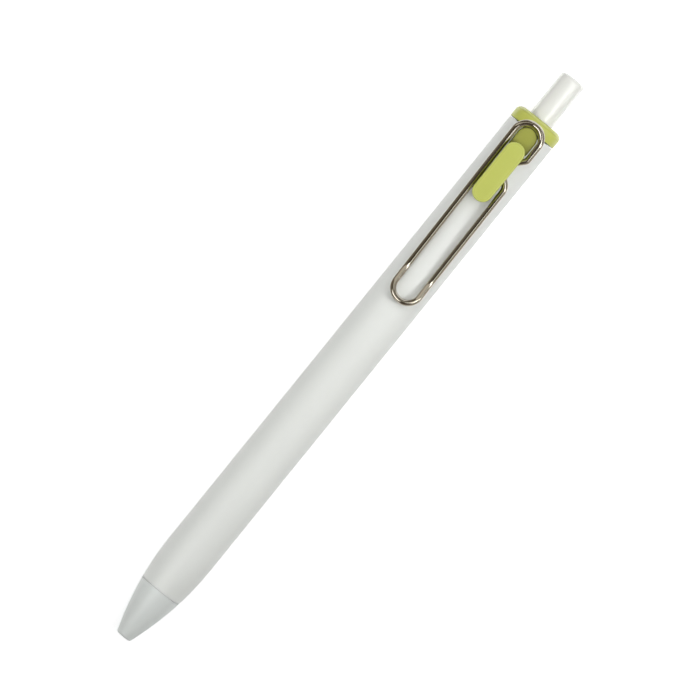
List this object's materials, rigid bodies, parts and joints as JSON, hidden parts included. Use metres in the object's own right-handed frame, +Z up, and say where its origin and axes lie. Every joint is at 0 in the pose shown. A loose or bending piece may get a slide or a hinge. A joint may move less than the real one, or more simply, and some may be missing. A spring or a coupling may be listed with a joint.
{
  "type": "retractable gel pen",
  "caption": "Retractable gel pen with a push button, a screw-off nose cone and a paper-clip style bent-wire clip under a round-ended plate.",
  "frame": {"origin": "centre of the underside, on the surface that the pen lies on", "axes": "+X along the pen from nose to button, +Z up through the clip, +Y to the left of someone who looks from the nose to the button"},
  "size_m": [0.1396, 0.0104, 0.0142],
  "materials": {
    "barrel_white": "satin moulded",
    "nose_white": "satin moulded",
    "crown_lime": "semi-gloss moulded",
    "boss_olive": "satin moulded",
    "plate_lime": "semi-gloss moulded",
    "clip_nickel": "bright nickel-plated wire",
    "button_white": "glossy moulded",
    "cam_white": "glossy acetal",
    "rotor_grey": "glossy acetal",
    "sleeve_natural": "glossy acetal",
    "spring_steel": "drawn spring wire",
    "tube_clear": "translucent extruded tube",
    "ink_black": "wet ink",
    "grease": "translucent grease",
    "plug_grey": "moulded",
    "holder_white": "moulded",
    "tip_nickel": "turned nickel silver",
    "ball_carbide": "ground carbide"
  },
  "bodies": {
    "barrel": {"barrel": "barrel_white", "crown_ring": "crown_lime", "clip_base": "boss_olive", "clip_plate": "plate_lime", "cam_sleeve": "sleeve_natural"},
    "button": {"knock_button": "button_white", "cam_plunger": "cam_white"},
    "refill": {"refill_tube": "tube_clear", "ink_column": "ink_black", "ink_follower": "grease", "refill_tail_plug": "plug_grey", "refill_tip_holder": "holder_white", "refill_tip": "tip_nickel", "writing_ball": "ball_carbide", "ball_spring": "spring_steel", "check_ball": "ball_carbide", "cam_rotor": "rotor_grey"},
    "clip": {"clip_wire": "clip_nickel"},
    "spring": {"return_spring": "spring_steel"},
    "nose": {"nose_cone": "nose_white"}
  },
  "joints": [
    {"name": "button_press", "type": "slide", "parent": "barrel", "child": "button", "axis": [-1, 0, 0], "range_m": [0, 0.006], "stiffness_N_per_m": 350, "springref_m": -0.0035},
    {"name": "refill_feed", "type": "slide", "parent": "barrel", "child": "refill", "axis": [-1, 0, 0], "range_m": [0, 0.006], "deforming": ["return_spring"]},
    {"name": "clip_open", "type": "hinge", "parent": "barrel", "child": "clip", "pos_m": [0.04785, 0, 0.012], "axis": [0, 1, 0], "range_deg": [0, 4], "stiffness_Nm_per_rad": 0.6, "springref_deg": -1.15},
    {"name": "nose_advance", "type": "slide", "parent": "barrel", "child": "spring", "axis": [-1, 0, 0], "range_m": [0, 0.0075]},
    {"name": "nose_turn", "type": "hinge", "parent": "spring", "child": "nose", "pos_m": [-0.05815, 0, 0.00525], "axis": [-1, 0, 0], "range_deg": [0, 1801]}
  ],
  "couplings": [
    {"joint": "refill_feed", "follows": "button_press", "ratio": 1},
    {"joint": "nose_turn", "follows": "nose_advance", "rad_per_m": 4188.8}
  ]
}
